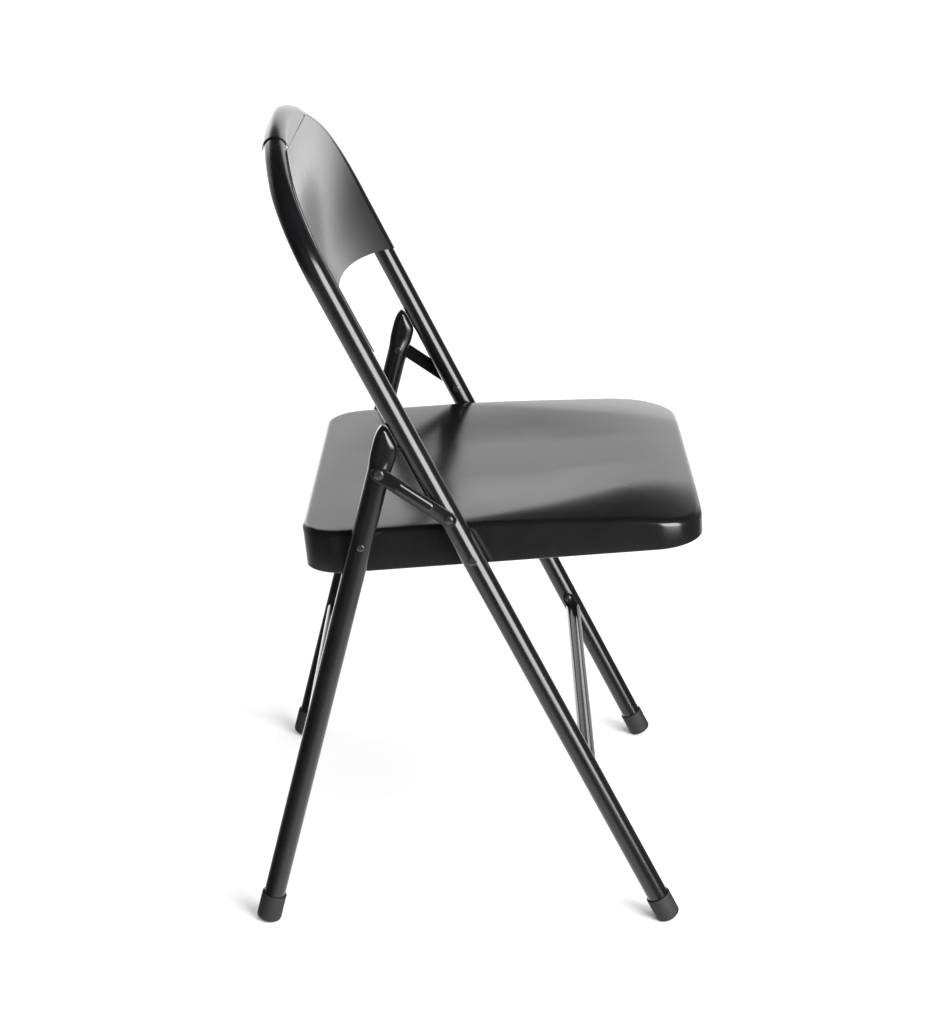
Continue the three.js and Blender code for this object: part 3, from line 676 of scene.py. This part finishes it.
def link(label, side):
    """A stamped plate with softened edges and a raised rib along its middle."""
    run = LINK_REAR - LINK_FRONT
    length = math.hypot(run.y, run.z)
    half = LINK_WIDTH / 2
    rib0, rib1 = (length - RIB_LENGTH) / 2, (length + RIB_LENGTH) / 2
    stages = [(half - LINK_BREAK, 0, length, 0), (half, 0, length, LINK_BREAK)]
    stages += [(half, 0, length, LINK_PLATE - LINK_ROUND)]
    for angle in quarter_turn(4)[1:]:
        inset, below = LINK_ROUND * (1 - math.cos(angle)), LINK_ROUND * (1 - math.sin(angle))
        stages.append((half - inset, 0, length, LINK_PLATE - below))
    foot = RIB_WIDTH / 2 + RIB_FLARE
    stages += [(foot, rib0, rib1, LINK_PLATE), (foot - 0.4 * MM, rib0, rib1, LINK_PLATE + 0.15 * MM)]
    stages += [(RIB_WIDTH / 2, rib0, rib1, LINK_PLATE + RIB_HEIGHT * 0.85)]
    stages += [(RIB_WIDTH / 2 - 0.6 * MM, rib0, rib1, LINK_PLATE + RIB_HEIGHT)]
    rings = [[Vector((side * z, p.y, p.x)) for p in stadium(w, a, b)] for w, a, b, z in stages]
    bm = bmesh.new()
    add_skin(bm, rings)
    turn = math.atan2(run.z, run.y)
    x = side * (OUTER_FACE + LINK_STAND)
    place = Matrix.Translation((x, LINK_FRONT.y, LINK_FRONT.z)) @ Matrix.Rotation(turn, 4, "X")
    make_piece(f"link_{label}", bm, place, f"link_{label}", "black_paint", crease=35)


# ---- Rivets and spacers ---------------------------------------------------------------------
SHANK = 3 * MM
DOME_TURNS = 10
SKIRT = 0.25  # the part of a dome's height that is a straight skirt
RIVET_SOFT = 0.1 * MM
TAIL_TAPER = 0.7
SPACER = {"hole": 3.3 * MM, "outer": 7 * MM, "soft": 0.25 * MM}
BAR_RIVET = {"shank": 2.3 * MM, "radius": 4.2 * MM, "dome": 1.8 * MM, "past": 2 * MM}


def domed(head_at, radius, dome):
    """The outboard head of a rivet: a low dome on a short skirt."""
    skirt = dome * SKIRT
    turns = quarter_turn(DOME_TURNS)
    rise = dome - skirt
    points = [(radius * math.sin(turn), head_at + skirt + rise * math.cos(turn)) for turn in turns]
    return points + [(radius, head_at + RIVET_SOFT), (radius - RIVET_SOFT, head_at)]


def rivet(name, side, at, body, head_at, radius, dome, shank_to, tail=0, tail_height=0):
    profile = domed(head_at, radius, dome) + [(SHANK, head_at), (SHANK, shank_to)]
    if tail:
        profile += [(tail, shank_to), (tail, shank_to - tail_height * 0.5)]
        profile += [(tail * TAIL_TAPER, shank_to - tail_height)]
    profile += [(0, profile[-1][1])]
    bm = bmesh.new()
    add_lathe(bm, profile)
    place = Matrix.Translation((0, at.y, at.z)) @ outboard(side)
    make_piece(name, bm, place, body, "rivet_steel", crease=35)


def spacer(name, side, at, body):
    hole, outer, soft = SPACER["hole"], SPACER["outer"], SPACER["soft"]
    start, stop = SEAT_HALF + GAP, INNER_FACE - GAP
    profile = [(hole, start), (outer - soft, start), (outer, start + soft)]
    profile += [(outer, stop - soft), (outer - soft, stop), (hole, stop)]
    bm = bmesh.new()
    add_lathe(bm, profile)
    place = Matrix.Translation((0, at.y, at.z)) @ outboard(side)
    make_piece(name, bm, place, body, "spacer_nylon", crease=30)


def linkage(label, side):
    """The pivots of one side. The rear link rivet is split: its tail stays in the leg."""
    on_tube = OUTER_FACE + GAP
    on_plate = OUTER_FACE + LINK_STAND + LINK_PLATE + GAP
    in_seat = SEAT_HALF - SEAT_SHEET - GAP
    in_tube = INNER_FACE - GAP
    # Name, place, body, foot of the head, its radius and height in mm, end of the shank, tail in mm.
    pins = [
        ("seat_front_rivet", SEAT_FRONT, "front_frame", on_tube, 4.5, 1.1, in_seat, 5, 1.6),
        ("seat_rear_rivet", SEAT_REAR, "rear_frame", on_tube, 3.8, 1.4, in_seat, 3.2, 1),
        ("link_front_rivet", LINK_FRONT, "front_frame", on_plate, 4.2, 1.7, in_tube, 4.2, 1.4),
        ("link_rear_rivet", LINK_REAR, f"link_{label}", on_plate, 5, 2, on_tube, 0, 0),
    ]
    for name, at, body, head_at, radius, dome, shank_to, tail, height in pins:
        sizes = (head_at, radius * MM, dome * MM, shank_to, tail * MM, height * MM)
        rivet(f"{name}_{label}", side, at, body, *sizes)
    tail = (-in_tube, 4.2 * MM, 1.4 * MM, GAP - OUTER_FACE)
    rivet(f"link_rear_tail_{label}", -side, LINK_REAR, "rear_frame", *tail)
    spacer(f"seat_front_spacer_{label}", side, SEAT_FRONT, "front_frame")
    spacer(f"seat_rear_spacer_{label}", side, SEAT_REAR, "seat")


def crossbar_rivet(end, leg, body, label, side):
    face = INNER_FACE - GAP - TAB - GAP
    shank, radius, dome = BAR_RIVET["shank"], BAR_RIVET["radius"], BAR_RIVET["dome"]
    stop = INNER_FACE + WALL + BAR_RIVET["past"]
    turns = quarter_turn(DOME_TURNS)
    profile = [(radius * math.sin(turn), face - dome * math.cos(turn)) for turn in turns]
    profile += [(shank, face), (shank, stop), (0, stop)]
    bm = bmesh.new()
    add_lathe(bm, profile)
    rise = along(leg, CROSSBAR_HEIGHT) + RIVET_RISE
    place = leg_plane(leg) @ Matrix.Translation((0, rise, 0)) @ outboard(side)
    make_piece(f"{end}_crossbar_rivet_{label}", bm, place, body, "rivet_steel", crease=35)


# ---- Feet -----------------------------------------------------------------------------------
FOOT_RADIUS = 12.6 * MM
FOOT_EDGE = 4 * MM
FOOT_TOP = 31 * MM
FOOT_LIP = 0.8 * MM


def foot(end, leg, body, label, side):
    """A moulded sleeve over the leg's end, cut level where it stands on the floor."""
    bottom = leg["end"]
    profile = [(0, bottom)]
    for angle in quarter_turn(8):
        radius = FOOT_RADIUS - FOOT_EDGE * (1 - math.sin(angle))
        profile.append((radius, bottom + FOOT_EDGE * (1 - math.cos(angle))))
    for angle in quarter_turn(6):
        inset, below = FOOT_LIP * (1 - math.cos(angle)), FOOT_LIP * (1 - math.sin(angle))
        profile.append((FOOT_RADIUS - inset, FOOT_TOP - below))
    profile += [(TUBE + GAP, FOOT_TOP), (TUBE + GAP, TUBE_END - GAP), (0, TUBE_END - GAP)]
    bm = bmesh.new()
    add_lathe(bm, profile)
    place = leg_plane(leg, side * HALF_SPAN) @ Matrix.Rotation(-math.pi / 2, 4, "X")
    bmesh.ops.transform(bm, matrix=place, verts=bm.verts)
    parts = bm.verts[:] + bm.edges[:] + bm.faces[:]
    level = {"plane_co": (0, 0, 0), "plane_no": (0, 0, 1)}
    cut = bmesh.ops.bisect_plane(bm, geom=parts, clear_inner=True, **level)
    rim = [e for e in cut["geom_cut"] if isinstance(e, bmesh.types.BMEdge)]
    bmesh.ops.holes_fill(bm, edges=rim)
    make_piece(f"{end}_foot_{label}", bm, Matrix(), body, "foot_rubber", crease=35)


# ---- Studio ---------------------------------------------------------------------------------
FLOOR_WHITE = 0.93
FLOOR_HALF = 14
KEY = {"at": (-2.15, -1.95, 0.95), "to": (0, 0, 0.5), "width": 2.1, "height": 2.3, "watts": 220}
SKY = {"towards": (0.45, 0.9, -1.6), "strength": 1.8, "spread": math.radians(60)}
SKY_AT = Vector((0, 0, 3))
ROOM = 0.66  # how brightly the room lights the floor and everything but gloss
# Each slope is (axis, start, stop, first level, last level) over that part of the unit direction.
BACKDROP = [
    ("X", 0, 0.8, 0.08, 1.45),  # lit on the left side of the chair
    ("Z", 0.41, 0.45, 1, 0.01),  # ends sharply above
    ("Y", -0.78, -0.3, 0.1, 1),  # fades out towards the front
    ("Y", 0.12, 0.3, 1, 2.2),  # brightest a little to the back
    ("Y", 0.4, 0.6, 1, 0.2),  # and dim beyond that
]
NEAR_FLOOR = ("Z", -0.62, -0.42, 1.5, 0)


def make_floor():
    bm = bmesh.new()
    bmesh.ops.create_grid(bm, x_segments=1, y_segments=1, size=FLOOR_HALF)
    mesh = bpy.data.meshes.new("floor")
    bm.to_mesh(mesh)
    bm.free()
    material = bpy.data.materials.new("floor_white")
    material.use_nodes = True
    shader = material.node_tree.nodes["Principled BSDF"]
    shader.inputs["Base Color"].default_value = (FLOOR_WHITE, FLOOR_WHITE, FLOOR_WHITE, 1)
    shader.inputs["Roughness"].default_value = 0.9
    shader.inputs["Specular IOR Level"].default_value = 0.1
    mesh.materials.append(material)
    floor = link_object("floor", mesh)
    floor.visible_glossy = False  # the world below the horizon stands for it in the paint's gloss


def make_lights():
    """A low softbox to the right of the camera, and a broad soft sun that the gloss doesn't show."""
    data = bpy.data.lights.new("key", "AREA")
    data.shape = "RECTANGLE"
    data.size, data.size_y = KEY["width"], KEY["height"]
    data.energy = KEY["watts"]
    key = link_object("key", data)
    key.matrix_world = aimed(Vector(KEY["at"]), Vector(KEY["to"]))
    data = bpy.data.lights.new("sky", "SUN")
    data.energy = SKY["strength"]
    data.angle = SKY["spread"]
    sky = link_object("sky", data)
    sky.matrix_world = aimed(SKY_AT, SKY_AT + Vector(SKY["towards"]))
    sky.visible_glossy = False


class World:
    """What the paint's gloss sees, by direction: X across, Y to the back of the chair, Z up."""

    def __init__(self, tree):
        self.tree = tree
        direction = tree.nodes.new("ShaderNodeTexCoord")
        split = tree.nodes.new("ShaderNodeSeparateXYZ")
        tree.links.new(direction.outputs["Generated"], split.inputs[0])
        self.axis = dict(zip("XYZ", split.outputs))

    def slope(self, axis, start, stop, first, last):
        spread = self.tree.nodes.new("ShaderNodeMapRange")
        spread.interpolation_type = "SMOOTHSTEP"
        names = ("From Min", "From Max", "To Min", "To Max")
        for name, value in zip(names, (start, stop, first, last)):
            spread.inputs[name].default_value = value
        self.tree.links.new(self.axis[axis], spread.inputs["Value"])
        return spread.outputs["Result"]

    def combine(self, operation, a, b):
        math_node = self.tree.nodes.new("ShaderNodeMath")
        math_node.operation = operation
        self.tree.links.new(a, math_node.inputs[0])
        self.tree.links.new(b, math_node.inputs[1])
        return math_node.outputs["Value"]

    def background(self, strength):
        made = self.tree.nodes.new("ShaderNodeBackground")
        made.inputs["Color"].default_value = (1, 1, 1, 1)
        if isinstance(strength, float):
            made.inputs["Strength"].default_value = strength
        else:
            self.tree.links.new(strength, made.inputs["Strength"])
        return made.outputs["Background"]

    def choose(self, flag, otherwise, chosen):
        mix = self.tree.nodes.new("ShaderNodeMixShader")
        self.tree.links.new(flag, mix.inputs["Fac"])
        self.tree.links.new(otherwise, mix.inputs[1])
        self.tree.links.new(chosen, mix.inputs[2])
        return mix.outputs["Shader"]


def make_world():
    """The camera sees white, and all but gloss sees an even room. The gloss sees a lit backdrop on the
    left side of the chair, brightest a little to the back, a white floor close by, and darkness above
    and on the right side."""
    world = bpy.data.worlds.new("studio")
    bpy.context.scene.world = world
    world.use_nodes = True
    tree = world.node_tree
    view = World(tree)
    backdrop = view.slope(*BACKDROP[0])
    for slope in BACKDROP[1:]:
        backdrop = view.combine("MULTIPLY", backdrop, view.slope(*slope))
    floor = view.slope(*NEAR_FLOOR)
    gloss = view.background(view.combine("MAXIMUM", backdrop, floor))
    ray = tree.nodes.new("ShaderNodeLightPath").outputs
    seen = view.choose(ray["Is Glossy Ray"], view.background(ROOM), gloss)
    seen = view.choose(ray["Is Camera Ray"], seen, view.background(1.0))
    tree.links.new(seen, tree.nodes["World Output"].inputs["Surface"])
    bpy.context.scene.view_settings.view_transform = "Standard"


# ---- Assembly -------------------------------------------------------------------------------
front_frame_tube()
back_panel()
seat_pan()
for end, leg, body in (("front", FRONT, "front_frame"), ("rear", REAR, "rear_frame")):
    crossbar(end, leg, body)
    for label, side in SIDES.items():
        foot(end, leg, body, label, side)
        crossbar_rivet(end, leg, body, label, side)
for label, side in SIDES.items():
    rear_leg(label, side)
    link(label, side)
    linkage(label, side)
make_floor()
make_lights()
make_world()
